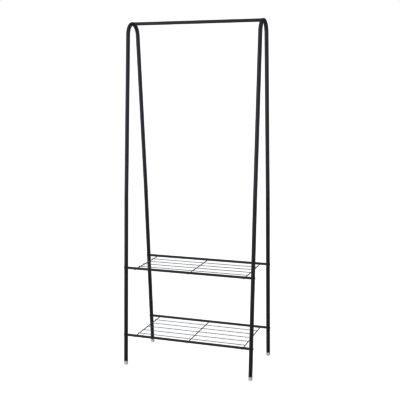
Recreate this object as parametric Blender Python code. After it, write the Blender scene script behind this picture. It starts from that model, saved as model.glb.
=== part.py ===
"""A garment rail: two A-frames of bent tube, a hanging rail between their crowns, and two wire shelves.

Metres, +Z up. X runs along the hanging rail, and -Y is the front. The origin is on the floor, at the
centre of the four feet.
"""

from math import asin, cos, pi, radians, sin, sqrt, tan

import bmesh
import bpy
from mathutils import Matrix, Vector

# Driving dimensions
FRAME_SPACING = 0.600  # between the two A-frames' mid planes
RAIL_HEIGHT = 1.544  # axis of the hanging rail, and of the tube at each crown
FOOT_SPREAD = 0.321  # front leg to rear leg where their axes meet the floor
JOINT_HEIGHT = 0.790  # where the upper tube takes the lower leg
UPPER_SPLAY = radians(4.76)  # lean of the upper tubes from the vertical
LOWER_SPLAY = radians(3.6)  # lean of the lower legs from the vertical
UPPER_SHELF_HEIGHT = 0.457  # axis of the shelf's rails
LOWER_SHELF_HEIGHT = 0.142

LEG_RADIUS = 0.0080
TOP_RAIL_RADIUS = 0.00635
SHELF_RAIL_RADIUS = 0.00475
WALL = 0.0010  # of every tube
CROSS_WIRE_RADIUS = 0.0015
LONG_WIRE_RADIUS = 0.0012
GAP = 0.0003  # between pieces that touch in use

NECK_LENGTH = 0.040  # of a lower leg, inside the upper tube
SHOULDER_LENGTH = 0.0025

CROSS_WIRE_SPACING = 0.258
LONG_WIRE_PITCH = 0.0515
LONG_WIRE_OVERHANG = 0.003  # past the axis of the last cross wire
UPPER_LONG_WIRES = 4
LOWER_LONG_WIRES = 5

SCREW_RADIUS = 0.0020
SCREW_LENGTH = 0.030
SCREW_HEAD_RADIUS = 0.0045
SCREW_HEAD_HEIGHT = 0.0020
SCREW_RIM_HEIGHT = 0.0006  # the straight side of the head, below its dome
SCREW_TIP_CHAMFER = 0.0006
SOCKET_WIDTH = 0.0030  # across the flats of the hexagon
SOCKET_DEPTH = 0.0015
INSERT_LENGTH = 0.016
INSERT_SETBACK = 0.0004  # from the leg's surface to the insert's end

FOOT_RADIUS = 0.0095
FOOT_HEAD_HEIGHT = 0.017
FOOT_STEM_LENGTH = 0.020
FOOT_RIBS = 3
FOOT_RIB_HEIGHT = 0.0006
FOOT_SHOULDER = 0.0008  # easing of the head's upper edge
FOOT_EDGE = 0.0032  # rounding of the head's lower edge
FOOT_SKIN = 0.0022  # thickness of the moulding

TUBE_SIDES = 20
RAIL_SIDES = 16
FOOT_SIDES = 16
SMALL_SIDES = 12
WIRE_SIDES = 8
CROWN_STEPS = 12
SHARP_ANGLE = radians(35)

# Worked out from the driving dimensions
LEG_BORE = LEG_RADIUS - WALL
HALF_SPACING = FRAME_SPACING / 2
HALF_JOINT_SPREAD = FOOT_SPREAD / 2 - JOINT_HEIGHT * tan(LOWER_SPLAY)
# The crown's arc touches both straight legs, and its top is at RAIL_HEIGHT.
BEND_RADIUS = (
    HALF_JOINT_SPREAD * cos(UPPER_SPLAY) - (RAIL_HEIGHT - JOINT_HEIGHT) * sin(UPPER_SPLAY)
) / (1 - sin(UPPER_SPLAY))
BEND_HEIGHT = RAIL_HEIGHT - BEND_RADIUS

X = Vector((1, 0, 0))
Y = Vector((0, 1, 0))
Z = Vector((0, 0, 1))
UPPER_UP = Vector((0, -sin(UPPER_SPLAY), cos(UPPER_SPLAY)))
LOWER_UP = Vector((0, -sin(LOWER_SPLAY), cos(LOWER_SPLAY)))
FOOT_POINT = Vector((0, FOOT_SPREAD / 2, 0))
JOINT_POINT = Vector((0, HALF_JOINT_SPREAD, JOINT_HEIGHT))

SIDES = {"left": -1, "right": 1}
ENDS = {"front": -1, "rear": 1}


def leg_offset(height):
    """How far a lower leg's axis is from the A-frame's middle, at this height."""
    return FOOT_SPREAD / 2 - height * tan(LOWER_SPLAY)


# Shapes from rings


def ring_points(centre, direction, radius, sides):
    """The corners of a ring of flats that stands across direction."""
    across = X if abs(direction.x) < 0.5 else Y
    second = direction.cross(across).normalized()
    angles = [2 * pi * side / sides for side in range(sides)]
    return [centre + radius * (cos(angle) * across + sin(angle) * second) for angle in angles]


def lofted_mesh(name, rings, sides, closed_loop=False):
    """A skin over rings of (centre, direction, radius), capped at its ends or closed into a loop."""
    bm = bmesh.new()
    loops = [[bm.verts.new(point) for point in ring_points(*ring, sides)] for ring in rings]
    pairs = list(zip(loops, loops[1:]))
    if closed_loop:
        pairs.append((loops[-1], loops[0]))
    else:
        bm.faces.new(loops[0])
        bm.faces.new(loops[-1])
    for lower, upper in pairs:
        for side in range(sides):
            after = (side + 1) % sides
            bm.faces.new((lower[side], lower[after], upper[after], upper[side]))
    return finished_mesh(bm, name)


def finished_mesh(bm, name):
    bmesh.ops.recalc_face_normals(bm, faces=bm.faces)
    mesh = bpy.data.meshes.new(name)
    bm.to_mesh(mesh)
    bm.free()
    return mesh


def turned_mesh(name, axis, profile, sides, closed_loop=False):
    """A turned shape whose profile is a list of (distance along the axis, radius)."""
    rings = [(axis * along, axis, radius) for along, radius in profile]
    return lofted_mesh(name, rings, sides, closed_loop)


def cut(mesh, cutter):
    """The mesh with the cutter's volume taken out of it."""
    body = bpy.data.objects.new("body", mesh)
    tool = bpy.data.objects.new("tool", cutter)
    for helper in (body, tool):
        bpy.context.scene.collection.objects.link(helper)
    modifier = body.modifiers.new("cut", "BOOLEAN")
    modifier.operation = "DIFFERENCE"
    modifier.solver = "EXACT"
    modifier.object = tool
    graph = bpy.context.evaluated_depsgraph_get()
    result = bpy.data.meshes.new_from_object(body.evaluated_get(graph))
    result.name = mesh.name
    for helper in (body, tool):
        bpy.data.objects.remove(helper)
    for used in (mesh, cutter):
        bpy.data.meshes.remove(used)
    return result


def rod_mesh(name, start, end, radius, sides):
    direction = (end - start).normalized()
    return lofted_mesh(name, [(start, direction, radius), (end, direction, radius)], sides)


# Materials


def material(name, colour, roughness, metallic=0.0, transmission=0.0):
    made = bpy.data.materials.new(name)
    made.use_nodes = True
    shader = made.node_tree.nodes["Principled BSDF"]
    shader.inputs["Base Color"].default_value = (*colour, 1.0)
    shader.inputs["Roughness"].default_value = roughness
    shader.inputs["Metallic"].default_value = metallic
    shader.inputs["Transmission Weight"].default_value = transmission
    made.diffuse_color = (*colour, 1.0)
    return made


# The A-frames


def crown_rings(radius, steps):
    """Rings round the bend of an upper tube, from its rear leg over the crown to its front leg."""
    rings = []
    for step in range(steps + 1):
        angle = UPPER_SPLAY + (pi - 2 * UPPER_SPLAY) * step / steps
        outward = Vector((0, cos(angle), sin(angle)))
        along = Vector((0, -sin(angle), cos(angle)))
        rings.append((BEND_HEIGHT * Z + BEND_RADIUS * outward, along, radius))
    return rings


def screw_hole_mesh(centre, reach):
    """A cutter along X for a screw's clearance hole, long enough to leave both walls."""
    return rod_mesh(
        "screw_hole", centre - reach * X, centre + reach * X, SCREW_RADIUS + GAP, SMALL_SIDES
    )


def frame_tube_mesh():
    """The hairpin: two straight legs and the bend of the crown, with a screw hole through the crown."""
    rear_end = JOINT_POINT + GAP * UPPER_UP
    front_end = Vector((0, -rear_end.y, rear_end.z))
    front_down = Vector((0, -UPPER_UP.y, UPPER_UP.z)) * -1

    def one_skin(radius):
        return [
            (rear_end, UPPER_UP, radius),
            *crown_rings(radius, CROWN_STEPS),
            (front_end, front_down, radius),
        ]

    rings = one_skin(LEG_RADIUS) + one_skin(LEG_BORE)[::-1]
    tube = lofted_mesh("frame_tube", rings, TUBE_SIDES, closed_loop=True)
    return cut(tube, screw_hole_mesh(RAIL_HEIGHT * Z, 2 * LEG_RADIUS))


def lower_leg_mesh():
    """The rear lower leg: a neck in line with the upper tube, a shoulder, and a straight tube below."""
    neck_radius = LEG_BORE - GAP
    neck_top = JOINT_POINT + NECK_LENGTH * UPPER_UP
    shoulder_foot = JOINT_POINT - SHOULDER_LENGTH * LOWER_UP
    bottom = FOOT_POINT + (FOOT_HEAD_HEIGHT + GAP) * LOWER_UP

    def one_skin(inset):
        return [
            (neck_top, UPPER_UP, neck_radius - inset),
            (JOINT_POINT, UPPER_UP, neck_radius - inset),
            (shoulder_foot, LOWER_UP, LEG_RADIUS - inset),
            (bottom, LOWER_UP, LEG_RADIUS - inset),
        ]

    tube = lofted_mesh(
        "lower_leg", one_skin(0) + one_skin(WALL)[::-1], TUBE_SIDES, closed_loop=True
    )
    for height in (UPPER_SHELF_HEIGHT, LOWER_SHELF_HEIGHT):
        centre = Vector((0, leg_offset(height), height))
        tube = cut(tube, screw_hole_mesh(centre, 2 * LEG_RADIUS))
    return tube


def foot_plug_mesh():
    """The rear foot: a head with a level base, and a hollow ribbed stem that fills the leg's bore."""
    stem_radius = LEG_BORE - GAP - FOOT_RIB_HEIGHT
    rib_pitch = FOOT_STEM_LENGTH / (FOOT_RIBS + 0.5)
    stem_top = FOOT_HEAD_HEIGHT + FOOT_STEM_LENGTH
    hollow_radius = stem_radius - FOOT_SKIN / 2
    profile = [(FOOT_HEAD_HEIGHT - FOOT_SKIN, hollow_radius), (stem_top, hollow_radius)]
    profile.append((stem_top, stem_radius))
    for rib in range(FOOT_RIBS, 0, -1):
        crest = FOOT_HEAD_HEIGHT + rib * rib_pitch
        profile.append((crest, stem_radius))
        profile.append((crest - rib_pitch / 4, stem_radius + FOOT_RIB_HEIGHT))
        profile.append((crest - rib_pitch / 2, stem_radius))
    profile.append((FOOT_HEAD_HEIGHT, stem_radius))
    profile.append((FOOT_HEAD_HEIGHT, LEG_RADIUS))
    profile.append((FOOT_HEAD_HEIGHT - FOOT_SHOULDER, FOOT_RADIUS))
    rings = [(FOOT_POINT + along * LOWER_UP, LOWER_UP, radius) for along, radius in profile]
    for lift in (1.0, 0.3, 0.0):
        inset = FOOT_EDGE * (1 - sqrt(1 - (1 - lift) ** 2))
        rings.append((FOOT_POINT + lift * FOOT_EDGE * LOWER_UP, Z, FOOT_RADIUS - inset))
    return lofted_mesh("foot_plug", rings, FOOT_SIDES)


# The rails


def coped_rail_mesh(name, radius, sides, cutter_at_end):
    """A tube along X between the A-frames, its ends cut to the tubes that they meet."""
    start = -HALF_SPACING * X
    bore = radius - WALL
    rings = [(start, X, radius), (-start, X, radius), (-start, X, bore), (start, X, bore)]
    tube = lofted_mesh(name, rings, sides, closed_loop=True)
    for side in SIDES.values():
        cutter = cutter_at_end()
        cutter.transform(Matrix.Translation(side * HALF_SPACING * X))
        tube = cut(tube, cutter)
    return tube


def crown_cutter():
    rings = crown_rings(LEG_RADIUS + GAP, CROWN_STEPS)
    cutter = lofted_mesh("crown_cutter", rings, TUBE_SIDES)
    cutter.transform(Matrix.Translation(-RAIL_HEIGHT * Z))
    return cutter


def leg_cutter():
    reach = 4 * LEG_RADIUS * LOWER_UP
    return rod_mesh("leg_cutter", -reach, reach, LEG_RADIUS + GAP, TUBE_SIDES)


def insert_mesh(name, rail_radius):
    """A threaded sleeve pressed into a rail's end, starting at the leg's surface and running along -X."""
    outer = rail_radius - WALL - GAP
    bore = SCREW_RADIUS + GAP
    near = -(LEG_RADIUS + GAP + INSERT_SETBACK)
    far = near - INSERT_LENGTH
    profile = [(near, outer), (far, outer), (far, bore), (near, bore)]
    return turned_mesh(name, X, profile, SMALL_SIDES, closed_loop=True)


# Fasteners


def socket_cutter():
    """The hexagonal tool that cuts the key's socket into a screw's head."""
    top = (LEG_RADIUS + GAP + SCREW_HEAD_HEIGHT) * X
    depth = SOCKET_DEPTH * X
    return rod_mesh("socket_cutter", top - depth, top + depth, SOCKET_WIDTH / sqrt(3), 6)


def screw_mesh():
    """A low-head socket screw along X. Its head seats on the + side of a leg at the origin."""
    seat = LEG_RADIUS + GAP
    tip = seat - SCREW_LENGTH
    dome_height = SCREW_HEAD_HEIGHT - SCREW_RIM_HEIGHT
    dome_radius = (SCREW_HEAD_RADIUS**2 + dome_height**2) / (2 * dome_height)
    dome_centre = seat + SCREW_HEAD_HEIGHT - dome_radius
    rim_angle = asin(SCREW_HEAD_RADIUS / dome_radius)
    profile = [
        (tip, SCREW_RADIUS - SCREW_TIP_CHAMFER),
        (tip + SCREW_TIP_CHAMFER, SCREW_RADIUS),
        (seat, SCREW_RADIUS),
        (seat, SCREW_HEAD_RADIUS),
    ]
    for angle in (rim_angle, rim_angle / 2):
        profile.append((dome_centre + dome_radius * cos(angle), dome_radius * sin(angle)))
    screw = turned_mesh("screw", X, profile, SMALL_SIDES)
    return cut(screw, socket_cutter())


# The shelves' wires


def wire_mesh(name, length, direction, radius):
    """A straight wire with its cut ends eased, centred on the origin."""
    ease = radius / 3
    half = length / 2
    profile = [(-half, radius - ease), (-half + ease, radius), (half - ease, radius), (half, radius - ease)]
    return turned_mesh(name, direction, profile, WIRE_SIDES)


# Placing the pieces


def assembly(name, location=(0, 0, 0), parent=None):
    """An empty that carries a group of pieces."""
    empty = bpy.data.objects.new(name, None)
    empty.location = location
    empty.parent = parent
    bpy.context.scene.collection.objects.link(empty)
    return empty


def place(name, mesh, parent, location=(0, 0, 0), turn=0.0):
    piece = bpy.data.objects.new(name, mesh)
    piece.parent = parent
    piece.location = location
    piece.rotation_euler = (0, 0, turn)
    bpy.context.scene.collection.objects.link(piece)
    return piece


def coat(mesh, finish):
    """Gives a mesh its material, and smooth shading between its sharp edges."""
    mesh.materials.clear()
    mesh.materials.append(finish)
    mesh.shade_smooth()
    mesh.set_sharp_from_angle(angle=SHARP_ANGLE)
    return mesh


def facing(sign):
    """The turn about Z that points a piece modelled for the + side to this side."""
    return 0.0 if sign > 0 else pi


def add_a_frames(root, meshes):
    for side, x_sign in SIDES.items():
        frame = assembly(f"{side}_frame", (x_sign * HALF_SPACING, 0, 0), root)
        place(f"frame_tube_{side}", meshes["frame_tube"], frame)
        for end, y_sign in ENDS.items():
            place(f"lower_leg_{side}_{end}", meshes["lower_leg"], frame, turn=facing(y_sign))
            place(f"foot_plug_{side}_{end}", meshes["foot_plug"], frame, turn=facing(y_sign))


def add_top_rail(root, meshes):
    group = assembly("hanging_rail", (0, 0, RAIL_HEIGHT), root)
    place("top_rail", meshes["top_rail"], group)
    for side, x_sign in SIDES.items():
        at = (x_sign * HALF_SPACING, 0, 0)
        place(f"top_rail_insert_{side}", meshes["top_rail_insert"], group, at, facing(x_sign))
        place(f"top_rail_screw_{side}", meshes["screw"], group, at, facing(x_sign))


def add_shelf(root, meshes, shelf, height, long_wires):
    group = assembly(f"{shelf}_shelf", (0, 0, height), root)
    for end, y_sign in ENDS.items():
        y = y_sign * leg_offset(height)
        rail = f"{shelf}_shelf_rail_{end}"
        place(rail, meshes["shelf_rail"], group, (0, y, 0), facing(y_sign))
        for side, x_sign in SIDES.items():
            at = (x_sign * HALF_SPACING, y, 0)
            insert = f"{shelf}_shelf_insert_{side}_{end}"
            place(insert, meshes["shelf_insert"], group, at, facing(x_sign))
            place(f"{shelf}_shelf_screw_{side}_{end}", meshes["screw"], group, at, facing(x_sign))
    cross_drop = SHELF_RAIL_RADIUS + GAP + CROSS_WIRE_RADIUS
    for x_sign, where in ((-1, "left"), (0, "middle"), (1, "right")):
        at = (x_sign * CROSS_WIRE_SPACING, 0, -cross_drop)
        place(f"{shelf}_shelf_cross_wire_{where}", meshes[f"{shelf}_cross_wire"], group, at)
    long_drop = cross_drop - CROSS_WIRE_RADIUS - GAP - LONG_WIRE_RADIUS
    for wire in range(long_wires):
        y = (wire - (long_wires - 1) / 2) * LONG_WIRE_PITCH
        name = f"{shelf}_shelf_long_wire_{wire + 1}"
        place(name, meshes["long_wire"], group, (0, y, -long_drop))


def cross_wire_mesh(shelf, height):
    """A wire that ends under the axes of the two shelf rails."""
    return wire_mesh(f"{shelf}_cross_wire", 2 * leg_offset(height), Y, CROSS_WIRE_RADIUS)


def main():
    for obj in list(bpy.data.objects):
        bpy.data.objects.remove(obj)
    black_coat = material("black_powder_coat", (0.021, 0.021, 0.025), roughness=0.38)
    black_zinc = material("black_zinc", (0.030, 0.030, 0.032), roughness=0.35, metallic=0.6)
    bright_zinc = material("bright_zinc", (0.62, 0.63, 0.66), roughness=0.30, metallic=1.0)
    clear_plastic = material("clear_plastic", (0.66, 0.66, 0.65), roughness=0.30, transmission=0.35)

    long_wire_length = 2 * (CROSS_WIRE_SPACING + LONG_WIRE_OVERHANG)
    black_meshes = {
        "frame_tube": frame_tube_mesh(),
        "lower_leg": lower_leg_mesh(),
        "top_rail": coped_rail_mesh("top_rail", TOP_RAIL_RADIUS, RAIL_SIDES, crown_cutter),
        "shelf_rail": coped_rail_mesh("shelf_rail", SHELF_RAIL_RADIUS, RAIL_SIDES, leg_cutter),
        "upper_cross_wire": cross_wire_mesh("upper", UPPER_SHELF_HEIGHT),
        "lower_cross_wire": cross_wire_mesh("lower", LOWER_SHELF_HEIGHT),
        "long_wire": wire_mesh("long_wire", long_wire_length, X, LONG_WIRE_RADIUS),
    }
    meshes = {name: coat(mesh, black_coat) for name, mesh in black_meshes.items()}
    meshes["screw"] = coat(screw_mesh(), black_zinc)
    meshes["top_rail_insert"] = coat(insert_mesh("top_rail_insert", TOP_RAIL_RADIUS), bright_zinc)
    meshes["shelf_insert"] = coat(insert_mesh("shelf_insert", SHELF_RAIL_RADIUS), bright_zinc)
    meshes["foot_plug"] = coat(foot_plug_mesh(), clear_plastic)

    root = assembly("garment_rail")
    add_a_frames(root, meshes)
    add_top_rail(root, meshes)
    add_shelf(root, meshes, "upper", UPPER_SHELF_HEIGHT, UPPER_LONG_WIRES)
    add_shelf(root, meshes, "lower", LOWER_SHELF_HEIGHT, LOWER_LONG_WIRES)


main()
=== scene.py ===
import random
from math import cos, pi, radians, sin, sqrt

import bmesh
import bpy
from mathutils import Matrix, Vector


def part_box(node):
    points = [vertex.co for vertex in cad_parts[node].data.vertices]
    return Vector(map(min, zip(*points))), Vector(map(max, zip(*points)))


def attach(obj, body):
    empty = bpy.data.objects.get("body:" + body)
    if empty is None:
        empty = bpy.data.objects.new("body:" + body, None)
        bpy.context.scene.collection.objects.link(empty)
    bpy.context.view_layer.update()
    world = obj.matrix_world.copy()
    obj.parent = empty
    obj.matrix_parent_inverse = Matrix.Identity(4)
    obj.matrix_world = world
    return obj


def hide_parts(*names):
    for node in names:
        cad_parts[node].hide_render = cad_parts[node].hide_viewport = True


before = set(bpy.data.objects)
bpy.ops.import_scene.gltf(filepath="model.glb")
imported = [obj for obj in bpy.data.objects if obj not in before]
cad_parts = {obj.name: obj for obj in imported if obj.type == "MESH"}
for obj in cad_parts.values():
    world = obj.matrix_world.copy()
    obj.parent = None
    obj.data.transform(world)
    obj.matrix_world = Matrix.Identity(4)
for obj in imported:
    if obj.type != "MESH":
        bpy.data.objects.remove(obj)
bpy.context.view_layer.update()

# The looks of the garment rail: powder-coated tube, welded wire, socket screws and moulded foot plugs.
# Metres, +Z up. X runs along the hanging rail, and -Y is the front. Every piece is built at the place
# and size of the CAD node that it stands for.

X = Vector((1, 0, 0))
Y = Vector((0, 1, 0))
Z = Vector((0, 0, 1))
SIDES = ("left", "right")
ENDS = ("front", "rear")
SHELVES = ("upper", "lower")
SIGN = {"left": -1, "right": 1, "front": -1, "rear": 1}

# Tubes, in metres
TUBE_WALL = 0.0010
GAP = 0.0003  # the CAD's clearance between neighbouring pieces
RIM_ROUNDING = 0.0003  # at the cut end of a tube
SHOULDER_LENGTH = 0.0028  # of a lower leg's swaged end, below its neck
CROWN_FLATTENING = 0.025  # of the tube's section at the top of the bend, as a share of its radius
STATION = 0.015  # along a straight tube, between two rings
RING_END = 0.002  # depth of the band of corners that makes up a tube's end

# Foot plugs. A depth goes down from the top of the head, along the leg.
PLUG_RIBS = 3
PLUG_RIB_HEIGHT = 0.0006
PLUG_SKIN = 0.0012  # of the stem, between its ribs
PLUG_EASING = 0.0003  # of the stem's rim
PLUG_RIM = 0.0004  # height of the stem's eased outer rim
PLUG_LEAN_RISE = 0.0004  # of the leaning rim's high side above its centre
PLUG_WAIST = 0.00035  # from the collar's radius to the waist's
PLUG_HOLLOW_DEPTH = 0.0060
PLUG_COLLAR_DEPTHS = (0.0008, 0.0026)  # of the collar's upper and lower edge
PLUG_WAIST_DEPTH = 0.0031
PLUG_EDGE = 0.0032  # rounding of the head's lower edge

# Screws
SCREW_SHANK = 0.0020  # its radius
SCREW_CHAMFER = 0.0006
SCREW_DOME = 0.0014  # height of the head above its straight rim
SCREW_EASING = 0.0002
SOCKET = 0.0015  # from the screw's axis to a flat of its hexagon
SOCKET_DEPTH = 0.0014
SOCKET_CORNERS = 6

# Weld beads
BEAD_CUT = 0.96  # the share of a bead's length that is built, so that its tips are not needles
BEAD_UNEVENNESS = (0.93, 1.07)
WELD_SEED = 7

# Fineness of the meshes
TUBE_SIDES = 64
RAIL_SIDES = 48
WIRE_SIDES = 24
SCREW_SIDES = 48
FOOT_SIDES = 64
FLOOR_SIDES = 96
BEAD_SIDES = 16
CROWN_STEPS = 56
CURVE_STEPS = 10  # round a shoulder, a plug's edge or a screw's dome
BEAD_STEPS = 8
SHARP_ANGLE = radians(40)


# Reading the frame


def corners(node):
    return [vertex.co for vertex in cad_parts[node].data.vertices]


def middle(points):
    """The centre of the box round these points."""
    low = Vector([min(point[axis] for point in points) for axis in range(3)])
    high = Vector([max(point[axis] for point in points) for axis in range(3)])
    return (low + high) / 2


def end_ring(points, top=False):
    """The corners at the lowest or the highest end of a tube that stands up."""
    level = max(point.z for point in points) if top else min(point.z for point in points)
    return [point for point in points if abs(point.z - level) < RING_END]


def half_size(node):
    low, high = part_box(node)
    return (high - low) / 2


def centre(node):
    low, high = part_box(node)
    return (low + high) / 2


def on_mid_plane(point):
    """The same point, in the plane of its A-frame."""
    return Vector((0, point.y, point.z))


LEG_RADIUS = half_size("frame_tube_left").x
FRAME_X = {side: centre(f"frame_tube_{side}").x for side in SIDES}
RAIL_AXIS = centre("top_rail")
REAR_LEG = corners("lower_leg_left_rear")
JOINT = on_mid_plane(middle(end_ring([p for p in corners("frame_tube_left") if p.y > 0])))
LEG_FOOT = on_mid_plane(middle(end_ring(REAR_LEG)))
NECK_RING = end_ring(REAR_LEG, top=True)
NECK_TOP = on_mid_plane(middle(NECK_RING))
NECK_RADIUS = max((on_mid_plane(point) - NECK_TOP).length for point in NECK_RING)
UPPER_UP = (NECK_TOP - JOINT).normalized()
LOWER_UP = (JOINT - LEG_FOOT).normalized()
FOOT_POINT = LEG_FOOT - LOWER_UP * (LEG_FOOT.z / LOWER_UP.z)

# The crown's bend touches both straight legs, and its top is on the hanging rail's axis.
CROWN_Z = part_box("frame_tube_left")[1].z - LEG_RADIUS
LEAN = -UPPER_UP.y
BEND_RADIUS = (JOINT.y * UPPER_UP.z - (CROWN_Z - JOINT.z) * LEAN) / (1 - LEAN)
BEND_CENTRE = Vector((0, 0, CROWN_Z - BEND_RADIUS))


# Meshes from rings


def ring_points(at, direction, radius, sides, flatten=0.0):
    """The corners of a ring across direction. flatten makes it lower, and a little wider along X."""
    across = X if abs(direction.x) < 0.5 else Y
    second = direction.cross(across).normalized()
    wide, low = radius * (1 + flatten / 2), radius * (1 - flatten)
    angles = [2 * pi * side / sides for side in range(sides)]
    return [at + wide * cos(angle) * across + low * sin(angle) * second for angle in angles]


def skin(bm, loops, closed_loop=False):
    """Faces between neighbouring loops of points, with caps on the two end loops unless they join up."""
    rows = [[bm.verts.new(point) for point in loop] for loop in loops]
    pairs = list(zip(rows, rows[1:]))
    if closed_loop:
        pairs.append((rows[-1], rows[0]))
    else:
        bm.faces.new(rows[0])
        bm.faces.new(rows[-1])
    count = len(rows[0])
    for lower, upper in pairs:
        for side in range(count):
            after = (side + 1) % count
            bm.faces.new((lower[side], lower[after], upper[after], upper[side]))


def finished(bm, name):
    """A smooth mesh with its sharp edges kept, and all its faces turned outward."""
    bmesh.ops.recalc_face_normals(bm, faces=bm.faces)
    mesh = bpy.data.meshes.new(name)
    bm.to_mesh(mesh)
    bm.free()
    mesh.shade_smooth()
    mesh.set_sharp_from_angle(angle=SHARP_ANGLE)
    return mesh


def loft(name, rings, sides, closed_loop=False):
    """A mesh over rings of (place, direction, radius) or (place, direction, radius, flatten)."""
    bm = bmesh.new()
    skin(bm, [ring_points(*ring[:3], sides, *ring[3:]) for ring in rings], closed_loop)
    return finished(bm, name)


def between(start, end, step):
    """Places from start to end, both included, no more than about a step apart."""
    count = max(1, round((end - start).length / step))
    return [start.lerp(end, index / count) for index in range(count + 1)]


def smooth_step(share):
    return share * share * (3 - 2 * share)


def rim(at, inward, outer, bore, flip=False):
    """Rings round a tube's cut end, from its outer side over the rounded rim to its bore."""
    easing = RIM_ROUNDING
    rings = [
        (at + inward * easing, inward, outer),
        (at + inward * easing * 0.3, inward, outer - easing * 0.3),
        (at, inward, outer - easing),
        (at, inward, bore + easing / 2),
        (at + inward * easing / 2, inward, bore),
    ]
    return rings[::-1] if flip else rings


# Materials

REMAP_INPUTS = ("From Min", "From Max", "To Min", "To Max")


class Shader:
    """A Principled material and short ways to feed it from noise."""

    def __init__(self, name):
        self.material = bpy.data.materials.new(name)
        self.material.use_nodes = True
        self.tree = self.material.node_tree
        self.surface = self.tree.nodes["Principled BSDF"]
        self.place = self.add("ShaderNodeTexCoord").outputs["Object"]

    def add(self, kind, **settings):
        node = self.tree.nodes.new(kind)
        for key, value in settings.items():
            setattr(node, key, value)
        return node

    def join(self, source, target):
        self.tree.links.new(source, target)

    def set(self, **inputs):
        for name, value in inputs.items():
            self.surface.inputs[name.replace("_", " ")].default_value = value

    def noise(self, scale, detail=2.0):
        node = self.add("ShaderNodeTexNoise")
        node.inputs["Scale"].default_value = scale
        node.inputs["Detail"].default_value = detail
        self.join(self.place, node.inputs["Vector"])
        return node.outputs["Fac"]

    def remap(self, value, low, high, new_low, new_high):
        node = self.add("ShaderNodeMapRange", clamp=True)
        for name, limit in zip(REMAP_INPUTS, (low, high, new_low, new_high)):
            node.inputs[name].default_value = limit
        self.join(value, node.inputs["Value"])
        return node.outputs["Result"]

    def multiply(self, first, second):
        node = self.add("ShaderNodeMath", operation="MULTIPLY")
        for value, socket in zip((first, second), node.inputs):
            if isinstance(value, float):
                socket.default_value = value
            else:
                self.join(value, socket)
        return node.outputs[0]

    def mix(self, share, first, second):
        node = self.add("ShaderNodeMix", data_type="RGBA")
        for value, name in zip((share, first, second), ("Factor_Float", "A_Color", "B_Color")):
            socket = next(item for item in node.inputs if item.identifier == name)
            if isinstance(value, (float, tuple)):
                socket.default_value = value
            else:
                self.join(value, socket)
        return next(item for item in node.outputs if item.identifier == "Result_Color")

    def bump(self, height, strength, distance, under=None):
        node = self.add("ShaderNodeBump")
        node.inputs["Strength"].default_value = strength
        node.inputs["Distance"].default_value = distance
        self.join(height, node.inputs["Height"])
        if under is not None:
            self.join(under, node.inputs["Normal"])
        return node.outputs["Normal"]

    def upward(self):
        """How far a surface faces up, 0 to 1."""
        normal = self.add("ShaderNodeNewGeometry").outputs["Normal"]
        parts = self.add("ShaderNodeSeparateXYZ")
        self.join(normal, parts.inputs[0])
        return self.remap(parts.outputs["Z"], 0.2, 1.0, 0.0, 1.0)

    def matt_edge(self, shine):
        """Shine that fades where the surface turns away, as a coat's fine grain shades itself there."""
        turned = self.add("ShaderNodeLayerWeight")
        turned.inputs["Blend"].default_value = 0.5
        return self.remap(turned.outputs["Facing"], 0.35, 0.85, shine, 0.0)

    def edges(self, low, high):
        """How far a place is on an outer edge, 0 to 1."""
        pointed = self.add("ShaderNodeNewGeometry").outputs["Pointiness"]
        return self.remap(pointed, low, high, 0.0, 1.0)


def grey(value, blue=1.0):
    return (value, value, value * blue, 1.0)


def powder_coat(name, tone, blue, roughness, shine):
    """Satin powder coat: orange peel, faint cloudiness, a little dust on top and worn edges."""
    shader = Shader(name)
    cloud = shader.remap(shader.noise(45, detail=4), 0.3, 0.7, 0.0, 1.0)
    coat = shader.mix(cloud, grey(tone * 0.8, blue), grey(tone * 1.25, blue))
    grain = shader.noise(3200, detail=1)
    speck = shader.remap(grain, 0.62, 0.8, 0.0, 0.35)
    coat = shader.mix(speck, coat, grey(tone * 2.2, blue))
    dust = shader.remap(shader.noise(70, detail=6), 0.45, 0.8, 0.0, 0.02)
    coat = shader.mix(shader.multiply(shader.upward(), dust), coat, grey(0.20))
    chips = shader.remap(shader.noise(400), 0.5, 0.6, 0.0, 0.5)
    coat = shader.mix(shader.multiply(shader.edges(0.56, 0.64), chips), coat, grey(0.12))
    shader.join(coat, shader.surface.inputs["Base Color"])
    shader.join(shader.matt_edge(shine), shader.surface.inputs["Specular IOR Level"])
    haze = shader.remap(shader.noise(120, detail=5), 0.3, 0.7, roughness - 0.05, roughness + 0.07)
    shader.join(haze, shader.surface.inputs["Roughness"])
    peel = shader.bump(shader.noise(650, detail=2), 0.5, 0.00003)
    shader.join(shader.bump(grain, 0.3, 0.00001, under=peel), shader.surface.inputs["Normal"])
    return shader.material


def black_zinc():
    """Blackened screws: darker in the pits, with bright metal where the key has rubbed the edges."""
    shader = Shader("black_zinc")
    shader.set(Metallic=0.75)
    cloud = shader.remap(shader.noise(260, detail=4), 0.35, 0.7, 0.0, 1.0)
    colour = shader.mix(cloud, grey(0.020), grey(0.050))
    scratches = shader.remap(shader.noise(900), 0.4, 0.6, 0.1, 0.8)
    colour = shader.mix(shader.multiply(shader.edges(0.55, 0.66), scratches), colour, grey(0.30))
    shader.join(colour, shader.surface.inputs["Base Color"])
    haze = shader.remap(shader.noise(700, detail=3), 0.3, 0.7, 0.30, 0.48)
    shader.join(haze, shader.surface.inputs["Roughness"])
    shader.join(shader.bump(shader.noise(1800), 0.3, 0.00005), shader.surface.inputs["Normal"])
    return shader.material


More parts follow.
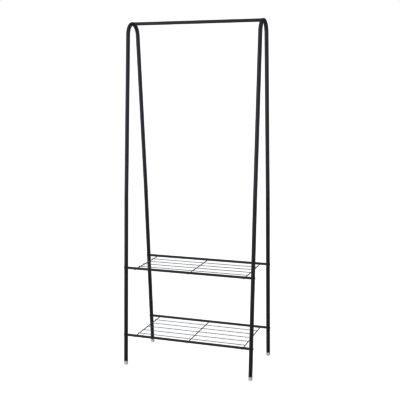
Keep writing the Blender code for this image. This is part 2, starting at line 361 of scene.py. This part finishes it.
def bright_zinc():
    """Zinc-plated inserts: cool grey metal with a fine turned grain and a yellowish tint in places."""
    shader = Shader("bright_zinc")
    shader.set(Metallic=1.0)
    cloud = shader.remap(shader.noise(180, detail=5), 0.35, 0.7, 0.0, 1.0)
    colour = shader.mix(cloud, (0.56, 0.58, 0.62, 1.0), (0.66, 0.64, 0.58, 1.0))
    shader.join(colour, shader.surface.inputs["Base Color"])
    haze = shader.remap(shader.noise(1500, detail=3), 0.3, 0.7, 0.22, 0.42)
    shader.join(haze, shader.surface.inputs["Roughness"])
    shader.join(shader.bump(shader.noise(2600), 0.4, 0.00004), shader.surface.inputs["Normal"])
    return shader.material


def clear_plastic():
    """Milky moulded plastic: cloudy flow marks, a soft mould texture, dulled edges and a painted glow
    that stands in for light shining through it.
    """
    shader = Shader("clear_plastic")
    shader.set(Transmission_Weight=0.15, IOR=1.49, Subsurface_Weight=0.35, Subsurface_Scale=0.004)
    flow = shader.remap(shader.noise(240, detail=4), 0.3, 0.7, 0.0, 1.0)
    colour = shader.mix(flow, (0.61, 0.60, 0.585, 1.0), (0.67, 0.66, 0.645, 1.0))
    scuffed = shader.multiply(shader.edges(0.53, 0.62), 0.5)
    colour = shader.mix(scuffed, colour, grey(0.52))
    shader.join(colour, shader.surface.inputs["Base Color"])
    # A painted glow: the plastic shines with its own colour, in place of light that passes through it
    shader.join(colour, shader.surface.inputs["Emission Color"])
    shader.set(Emission_Strength=0.42)
    haze = shader.remap(shader.noise(500, detail=3), 0.3, 0.7, 0.30, 0.48)
    shader.join(haze, shader.surface.inputs["Roughness"])
    shader.join(shader.bump(shader.noise(1400), 0.25, 0.00002), shader.surface.inputs["Normal"])
    return shader.material


# Putting pieces into the scene


def piece(node, mesh, material, location, turn=0.0):
    """A visible piece that stands for one CAD node."""
    obj = bpy.data.objects.new(f"{node}_detail", mesh)
    obj.location = location
    obj.rotation_euler = (0, 0, turn)
    bpy.context.scene.collection.objects.link(obj)
    if not mesh.materials:
        mesh.materials.append(material)
    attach(obj, "root")
    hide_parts(node)
    return obj


def facing(name):
    """The turn about Z that points a piece made for the right or the rear to this side."""
    return 0.0 if SIGN[name] > 0 else pi


# The A-frames


def crown_rings(radius):
    """Rings from the rear leg over the crown to the front leg, a little flattened in the bend."""
    lean = UPPER_UP.angle(Z)
    rings = []
    for step in range(CROWN_STEPS + 1):
        share = step / CROWN_STEPS
        angle = lean + (pi - 2 * lean) * share
        outward = Vector((0, cos(angle), sin(angle)))
        along = Vector((0, -sin(angle), cos(angle)))
        flatten = CROWN_FLATTENING * sqrt(sin(pi * share))
        rings.append((BEND_CENTRE + BEND_RADIUS * outward, along, radius, flatten))
    return rings


def hairpin_mesh():
    """One upper tube with an open bore: up from its rear end, over the crown and down to the front."""
    bore = LEG_RADIUS - TUBE_WALL
    front_joint = Vector((0, -JOINT.y, JOINT.z))
    front_up = Vector((0, -UPPER_UP.y, UPPER_UP.z))
    outer_bend = crown_rings(LEG_RADIUS)
    inner_bend = crown_rings(bore)
    lift = UPPER_UP * RIM_ROUNDING
    front_lift = front_up * RIM_ROUNDING
    rear_places = between(JOINT + lift, outer_bend[0][0], STATION)[1:-1]
    front_places = between(outer_bend[-1][0], front_joint + front_lift, STATION)[1:-1]
    rings = [(at, UPPER_UP, LEG_RADIUS) for at in rear_places]
    rings += outer_bend
    rings += [(at, -front_up, LEG_RADIUS) for at in front_places]
    rings += [(at, -front_up, radius) for at, _, radius in rim(front_joint, front_up, LEG_RADIUS, bore)]
    rings += [(at, -front_up, bore) for at in front_places[::-1]]
    rings += inner_bend[::-1]
    rings += [(at, UPPER_UP, bore) for at in rear_places[::-1]]
    rings += rim(JOINT, UPPER_UP, LEG_RADIUS, bore, flip=True)
    return loft("hairpin", rings, TUBE_SIDES, closed_loop=True)


def lower_leg_mesh():
    """The rear lower leg: neck, swaged shoulder and straight tube, its bore open at both ends."""
    shoulder_foot = JOINT - LOWER_UP * SHOULDER_LENGTH
    outer = rim(NECK_TOP, -UPPER_UP, NECK_RADIUS, NECK_RADIUS - TUBE_WALL, flip=True)
    outer = [(at, UPPER_UP, radius) for at, _, radius in outer]
    outer += [(at, UPPER_UP, NECK_RADIUS) for at in between(outer[-1][0], JOINT, STATION)[1:-1]]
    for step in range(CURVE_STEPS + 1):
        share = step / CURVE_STEPS
        radius = NECK_RADIUS + (LEG_RADIUS - NECK_RADIUS) * smooth_step(share)
        direction = UPPER_UP.lerp(LOWER_UP, share).normalized()
        outer.append((JOINT.lerp(shoulder_foot, share), direction, radius))
    body = between(shoulder_foot, LEG_FOOT + LOWER_UP * RIM_ROUNDING, STATION)[1:-1]
    outer += [(at, LOWER_UP, LEG_RADIUS) for at in body]
    outer += rim(LEG_FOOT, LOWER_UP, LEG_RADIUS, LEG_RADIUS - TUBE_WALL)
    bore = [(at, LOWER_UP, LEG_RADIUS - TUBE_WALL) for at in body[::-1]]
    bore.append((shoulder_foot, LOWER_UP, LEG_RADIUS - TUBE_WALL))
    bore.append((JOINT, UPPER_UP, NECK_RADIUS - TUBE_WALL))
    return loft("lower_leg", outer + bore, TUBE_SIDES, closed_loop=True)


def foot_plug_profile(head, top, collar):
    """(Distance along the leg, radius) from the plug's hollow over its ribbed stem to its waist."""
    stem = LEG_RADIUS - TUBE_WALL - GAP
    core = stem - PLUG_RIB_HEIGHT
    hollow = core - PLUG_SKIN
    waist = collar - PLUG_WAIST
    profile = [
        (head - PLUG_HOLLOW_DEPTH, hollow * 0.55),  # the hollow's rounded bottom
        (head - 0.0052, hollow * 0.9),
        (head - 0.0030, hollow),
        (top - PLUG_EASING, hollow),
        (top, hollow + PLUG_EASING),
        (top, core - PLUG_EASING),
        (top - PLUG_RIM, core),
    ]
    pitch = (top - head) / (PLUG_RIBS + 0.5)
    for index in range(PLUG_RIBS, 0, -1):
        crest = head + index * pitch
        rib = ((0.0, core), (0.10, stem), (0.22, stem), (0.6, core))
        profile += [(crest - pitch * drop, radius) for drop, radius in rib]
    profile += [
        (head, core),
        (head, LEG_RADIUS - 0.0002),  # the seat under the leg's end
        (head - 0.0003, LEG_RADIUS + 0.0004),
        (head - PLUG_COLLAR_DEPTHS[0], collar),
        (head - PLUG_COLLAR_DEPTHS[1], collar),
        (head - PLUG_WAIST_DEPTH, waist),
        (head - PLUG_HOLLOW_DEPTH, waist),
    ]
    return profile, waist


def foot_plug_mesh():
    """The rear foot plug: a head with a collar and a level base, and a hollow stem with ribs."""
    collar = half_size("foot_plug_left_rear").x
    head = (LEG_FOOT - FOOT_POINT).length - GAP
    top = (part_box("foot_plug_left_rear")[1].z - FOOT_POINT.z) / LOWER_UP.z - PLUG_LEAN_RISE
    profile, waist = foot_plug_profile(head, top, collar)
    rings = [(FOOT_POINT + LOWER_UP * along, LOWER_UP, radius) for along, radius in profile]
    for step in range(CURVE_STEPS + 1):
        angle = pi / 2 * step / CURVE_STEPS
        lift = PLUG_EDGE * (1 - sin(angle))
        radius = waist - PLUG_EDGE * (1 - cos(angle))
        direction = LOWER_UP.lerp(Z, sin(angle)).normalized()
        rings.append((FOOT_POINT + LOWER_UP * lift, direction, radius))
    return loft("foot_plug", rings, FOOT_SIDES)


def add_a_frames(finish):
    hairpin = hairpin_mesh()
    leg = lower_leg_mesh()
    foot = foot_plug_mesh()
    for side in SIDES:
        place = (FRAME_X[side], 0, 0)
        # The upper tubes take the coat painted with light, the lower legs the coat painted with shade
        piece(f"frame_tube_{side}", hairpin, finish["upper"], place)
        for end in ENDS:
            turn = facing(end)
            piece(f"lower_leg_{side}_{end}", leg, finish["lower"], place, turn)
            piece(f"foot_plug_{side}_{end}", foot, finish["foot"], place, turn)


# The rails


def saddle(radius, direction, inset):
    """A ring at a rail's +X end, shaped to the tube that it meets. direction is that tube's axis."""
    reach = LEG_RADIUS + GAP
    second = X.cross(direction).normalized()
    points = []
    for point in ring_points(Vector(), X, radius, RAIL_SIDES):
        aside = point.dot(second)
        x = FRAME_X["right"] - sqrt(reach * reach - aside * aside) - inset
        points.append(Vector((x, point.y, point.z)))
    return points


def mirrored(points):
    return [Vector((-point.x, point.y, point.z)) for point in points]


def rail_mesh(name, radius, direction):
    """A tube along X whose two ends are coped to tubes that run along direction."""
    bore = radius - TUBE_WALL
    easing = RIM_ROUNDING
    end = [
        saddle(radius, direction, 4 * easing),
        saddle(radius, direction, easing),
        saddle(radius - easing * 0.3, direction, easing * 0.3),
        saddle(radius - easing, direction, 0),
        saddle(bore + easing / 2, direction, 0),
        saddle(bore, direction, easing),
    ]
    span = FRAME_X["right"] - 2 * LEG_RADIUS
    places = between(span * X, -span * X, STATION)
    outer = [ring_points(at, X, radius, RAIL_SIDES) for at in places]
    inner = [ring_points(at, X, bore, RAIL_SIDES) for at in places[::-1]]
    start = [mirrored(loop) for loop in end]
    bm = bmesh.new()
    skin(bm, end[::-1] + outer + start + inner, closed_loop=True)
    return finished(bm, name)


def add_rails(finish):
    top = rail_mesh("top_rail", half_size("top_rail").z, Y)
    # The hanging rail takes the coat painted with light, and the shelf rails the coat painted with shade
    piece("top_rail", top, finish["upper"], RAIL_AXIS)
    radius = half_size("upper_shelf_rail_rear").z
    rail = rail_mesh("shelf_rail", radius, LOWER_UP)
    for shelf in SHELVES:
        for end in ENDS:
            node = f"{shelf}_shelf_rail_{end}"
            piece(node, rail, finish["lower"], centre(node), facing(end))


# The wire shelves


def wire_mesh(name, length, radius, direction):
    """A straight wire with sheared ends: slightly domed, with a soft edge."""
    half = length / 2
    rings = []
    for sign in (-1, 1):
        end = [
            (sign * half, radius * 0.55),
            (sign * (half - radius * 0.08), radius * 0.85),
            (sign * (half - radius * 0.35), radius),
        ]
        rings += end if sign < 0 else end[::-1]
    loops = [(direction * along, direction, size) for along, size in rings]
    middle_places = between(loops[2][0], loops[3][0], STATION)[1:-1]
    loops[3:3] = [(at, direction, radius) for at in middle_places]
    return loft(name, loops, WIRE_SIDES)


def add_bead(bm, at, along, half_length, half_width, half_height, chance):
    """A small weld lump: a ring-built swelling along one wire, slightly uneven."""
    across = along.cross(Z)
    loops = []
    for step in range(BEAD_STEPS + 1):
        share = BEAD_CUT * (2 * step / BEAD_STEPS - 1)
        swell = sqrt(1 - share * share) * chance.uniform(*BEAD_UNEVENNESS)
        loop = []
        for side in range(BEAD_SIDES):
            angle = 2 * pi * side / BEAD_SIDES
            wide = half_width * swell * cos(angle)
            high = half_height * swell * sin(angle)
            loop.append(at + along * half_length * share + across * wide + Z * high)
        loops.append(loop)
    skin(bm, loops)


def wires_of(shelf, kind):
    start = f"{shelf}_shelf_{kind}_wire_"
    return sorted(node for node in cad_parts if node.startswith(start))


def weld_mesh(shelf, chance):
    """Every weld of one shelf: long wires to cross wires, and cross wires to the two rails."""
    bm = bmesh.new()
    for cross in wires_of(shelf, "cross"):
        crossing = centre(cross)
        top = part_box(cross)[1].z
        cross_radius = half_size(cross).z
        for long in wires_of(shelf, "long"):
            long_radius = half_size(long).z
            at = Vector((crossing.x, centre(long).y, top + GAP / 2))
            add_bead(bm, at, X, cross_radius * 1.1, long_radius * 1.05, long_radius * 0.7, chance)
        for end in ENDS:
            rail = f"{shelf}_shelf_rail_{end}"
            inward = -SIGN[end] * cross_radius * Y
            at = Vector((crossing.x, centre(rail).y, top + GAP / 2)) + inward
            add_bead(bm, at, Y, half_size(rail).z * 0.5, cross_radius * 1.1, cross_radius * 0.7, chance)
    return finished(bm, f"{shelf}_welds")


def add_wires(finish):
    chance = random.Random(WELD_SEED)
    for shelf in SHELVES:
        # The long wires take the coat with the painted sheen
        for kind, direction, coat in (("cross", Y, "wire_coat"), ("long", X, "grey_wire_coat")):
            nodes = wires_of(shelf, kind)
            size = half_size(nodes[0])
            length = 2 * size.dot(direction)
            mesh = wire_mesh(f"{shelf}_{kind}_wire", length, size.z, direction)
            for node in nodes:
                piece(node, mesh, finish[coat], centre(node))
        welds = bpy.data.objects.new(f"{shelf}_shelf_welds", weld_mesh(shelf, chance))
        welds.data.materials.append(finish["wire_coat"])
        bpy.context.scene.collection.objects.link(welds)
        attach(welds, "root")


# The fasteners


def socket_loop(radius):
    """(Radius, angle) of points round a hexagon, as many as a ring of the screw has."""
    half_flat = pi / SOCKET_CORNERS
    points = []
    for side in range(SCREW_SIDES):
        angle = 2 * pi * side / SCREW_SIDES
        off_flat = (angle + half_flat) % (2 * half_flat) - half_flat
        points.append((radius / cos(off_flat), angle))
    return points


def screw_mesh():
    """A low-head socket screw along X, with its seat at the + side of a leg through the origin."""
    low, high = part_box("top_rail_screw_right")
    tip, head_top = low.x - FRAME_X["right"], high.x - FRAME_X["right"]
    head_radius = (high - low).y / 2
    seat = LEG_RADIUS + GAP
    sphere = (head_radius**2 + SCREW_DOME**2) / (2 * SCREW_DOME)
    profile = [
        (tip, SCREW_SHANK - SCREW_CHAMFER),
        (tip + SCREW_CHAMFER, SCREW_SHANK),
        (seat, SCREW_SHANK),
        (seat, head_radius - SCREW_EASING),
        (seat + SCREW_EASING, head_radius),
    ]
    mouth = SOCKET / cos(pi / SOCKET_CORNERS) + SCREW_EASING
    for step in range(CURVE_STEPS + 1):
        radius = head_radius + (mouth - head_radius) * step / CURVE_STEPS
        profile.append((head_top - sphere + sqrt(sphere**2 - radius**2), radius))
    bm = bmesh.new()
    loops = [ring_points(along * X, X, radius, SCREW_SIDES) for along, radius in profile]
    top = profile[-1][0]
    socket = ((SCREW_EASING, SOCKET), (SOCKET_DEPTH, SOCKET), (SOCKET_DEPTH * 1.2, SOCKET * 0.15))
    for depth, size in socket:
        loop = []
        for radius, angle in socket_loop(size):
            loop.append((top - depth) * X + radius * (cos(angle) * Y + sin(angle) * Z))
        loops.append(loop)
    skin(bm, loops)
    return finished(bm, "screw")


def add_screws(finish):
    nodes = sorted(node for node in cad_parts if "_screw_" in node)
    mesh = screw_mesh()
    for node in nodes:
        side = "left" if "_left" in node else "right"
        at = Vector((FRAME_X[side], centre(node).y, centre(node).z))
        piece(node, mesh, finish["screw"], at, facing(side))


def finish_inserts(material):
    """The inserts keep their CAD solids, which are hidden inside the rails."""
    for name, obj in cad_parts.items():
        if "_insert_" in name:
            obj.data.materials.clear()
            obj.data.materials.append(material)


# The stage: a pale floor, soft light and the camera

FLOOR_RADIUS = 3.0
FLOOR_LEVELS = (-0.021, -0.001)  # its underside and its top
FLOOR_GLOW = 0.94  # as the camera sees it
FLOOR_LIGHT = 0.12  # on the tubes
STUDIO_TINT = (0.97, 0.98, 1.0, 1.0)
STUDIO_RANGE = (0.15, 0.85)  # from the dim side to the bright side
BRIGHT_SIDE = Vector((-0.50, -0.75, -0.45)).normalized()
KEY_PLACE = Vector((-1.6, -2.2, 1.3))
KEY_AIM = Vector((0, 0, 1.4))
KEY_SIZE = 1.6
KEY_POWER = 34
KEY_TINT = (0.66, 0.74, 1.0)
VIEW_AZIMUTH = radians(19.39)
VIEW_ELEVATION = radians(11.28)
VIEW_ROLL = radians(-0.31)
VIEW_DISTANCE = 3.408
VIEW_AIM = Vector((0.0073, 0, 0.6381))
LENS = 67.25  # millimetres, as is the sensor
SENSOR_WIDTH = 36
LENS_SHIFT = (0.0028, 0.0687)  # sideways and up, in widths of the picture
SAME_HEIGHT = 0.02  # how far the camera may rise or sink before the lens shift goes

# Light in, light out, between black (0, 0) and white (1, 1)
TONE_CURVE = (
    (0.02, 0.019),
    (0.05, 0.033),
    (0.1, 0.048),
    (0.2, 0.095),
    (0.35, 0.178),
    (0.5, 0.29),
    (0.8, 0.72),
)


def in_sight(tree):
    """1 for what the camera sees, straight or through clear plastic, and 0 for light on a surface."""
    path = tree.nodes.new("ShaderNodeLightPath")
    either = tree.nodes.new("ShaderNodeMath")
    either.operation = "MAXIMUM"
    tree.links.new(path.outputs["Is Camera Ray"], either.inputs[0])
    tree.links.new(path.outputs["Is Transmission Ray"], either.inputs[1])
    return either.outputs[0]


def add_floor():
    """A pale round floor that fades into the white round it."""
    rings = [(level * Z, Z, FLOOR_RADIUS) for level in FLOOR_LEVELS]
    mesh = loft("floor", rings, FLOOR_SIDES)
    floor = bpy.data.objects.new("floor", mesh)
    bpy.context.scene.collection.objects.link(floor)
    shader = Shader("pale_floor")
    colour = shader.mix(shader.noise(6, detail=5), grey(0.18), grey(0.20))
    shader.join(colour, shader.surface.inputs["Base Color"])
    shader.set(Roughness=0.9, Specular_IOR_Level=0.1, Emission_Color=grey(1.0))
    glow = shader.remap(in_sight(shader.tree), 0.0, 1.0, FLOOR_LIGHT, FLOOR_GLOW)
    shader.join(glow, shader.surface.inputs["Emission Strength"])
    mesh.materials.append(shader.material)


def add_world():
    """White to the eye. As a light it is soft, brightest on the left, and dim on the right."""
    world = bpy.data.worlds.new("studio")
    bpy.context.scene.world = world
    world.use_nodes = True
    tree = world.node_tree
    light = tree.nodes["Background"]
    light.inputs["Color"].default_value = STUDIO_TINT
    direction = tree.nodes.new("ShaderNodeTexCoord").outputs["Generated"]
    sideways = tree.nodes.new("ShaderNodeVectorMath")
    sideways.operation = "DOT_PRODUCT"
    sideways.inputs[1].default_value = BRIGHT_SIDE
    tree.links.new(direction, sideways.inputs[0])
    strength = tree.nodes.new("ShaderNodeMapRange")
    for name, value in zip(REMAP_INPUTS, (-1.0, 1.0, *STUDIO_RANGE)):
        strength.inputs[name].default_value = value
    tree.links.new(sideways.outputs["Value"], strength.inputs["Value"])
    tree.links.new(strength.outputs["Result"], light.inputs["Strength"])
    white = tree.nodes.new("ShaderNodeBackground")
    white.inputs["Color"].default_value = grey(1.0)
    choice = tree.nodes.new("ShaderNodeMixShader")
    tree.links.new(in_sight(tree), choice.inputs[0])
    tree.links.new(light.outputs[0], choice.inputs[1])
    tree.links.new(white.outputs[0], choice.inputs[2])
    tree.links.new(choice.outputs[0], tree.nodes["World Output"].inputs["Surface"])


def add_key_light():
    """A soft, bluish light from the front left, aimed at the upper tubes."""
    light = bpy.data.lights.new("key", "AREA")
    light.color = KEY_TINT
    light.size = KEY_SIZE
    light.energy = KEY_POWER
    obj = bpy.data.objects.new("key", light)
    obj.location = KEY_PLACE
    obj.rotation_euler = (KEY_AIM - KEY_PLACE).to_track_quat("-Z", "Y").to_euler()
    obj.visible_camera = False
    bpy.context.scene.collection.objects.link(obj)


def shift_lens(camera, obj):
    """Shifts the lens while the camera stands at its first height, and centres it elsewhere."""
    stand = obj.location.z
    for name, shift in zip(("shift_x", "shift_y"), LENS_SHIFT):
        curve = camera.driver_add(name)
        curve.modifiers.remove(curve.modifiers[0])  # the keyframes alone shape the curve
        curve.driver.type = "SUM"
        height = curve.driver.variables.new()
        height.type = "TRANSFORMS"
        height.targets[0].id = obj
        height.targets[0].transform_type = "LOC_Z"
        for step, value in ((-2, 0.0), (-1, shift), (1, 0.0)):
            point = curve.keyframe_points.insert(stand + step * SAME_HEIGHT, value)
            point.interpolation = "CONSTANT"


def add_camera():
    camera = bpy.data.cameras.new("camera")
    camera.lens = LENS
    camera.sensor_width = SENSOR_WIDTH
    level = cos(VIEW_ELEVATION)
    back = Vector((sin(VIEW_AZIMUTH) * level, -cos(VIEW_AZIMUTH) * level, sin(VIEW_ELEVATION)))
    upright = (-back).to_track_quat("-Z", "Y").to_matrix()
    rolled = upright @ Matrix.Rotation(VIEW_ROLL, 3, "Z")
    obj = bpy.data.objects.new("camera", camera)
    obj.location = VIEW_AIM + back * VIEW_DISTANCE
    obj.rotation_euler = rolled.to_euler()
    bpy.context.scene.collection.objects.link(obj)
    bpy.context.scene.camera = obj
    shift_lens(camera, obj)


def grade_picture():
    """Plain colours with deep middle tones, so that thin dark wire stays crisp against white."""
    settings = bpy.context.scene.view_settings
    settings.view_transform = "Standard"
    settings.use_curve_mapping = True
    curve = settings.curve_mapping.curves[3]  # red, green and blue together
    for place in TONE_CURVE:
        curve.points.new(*place)
    settings.curve_mapping.update()


def main():
    finish = {
        # One powder coat in two copies: upper is painted lighter and bluer with more shine, painted
        # light from the bluish key on the crowns and the hanging rail; lower is painted darker, painted
        # shade on the lower legs and the shelf rails, where less light reaches
        "upper": powder_coat("powder_coat_upper", tone=0.016, blue=2.2, roughness=0.34, shine=0.5),
        "lower": powder_coat("powder_coat_lower", tone=0.012, blue=0.97, roughness=0.38, shine=0.32),
        "wire_coat": powder_coat("wire_coat", tone=0.010, blue=1.05, roughness=0.42, shine=0.3),
        # The long wires' coat is the black wire coat painted light grey: a painted sheen for the light
        # that they catch along their length
        "grey_wire_coat": powder_coat("grey_wire_coat", tone=0.31, blue=0.97, roughness=0.42, shine=0.4),
        "screw": black_zinc(),
        "insert": bright_zinc(),
        "foot": clear_plastic(),
    }
    add_a_frames(finish)
    add_rails(finish)
    add_wires(finish)
    add_screws(finish)
    finish_inserts(finish["insert"])
    add_floor()
    add_world()
    add_key_light()
    add_camera()
    grade_picture()


main()
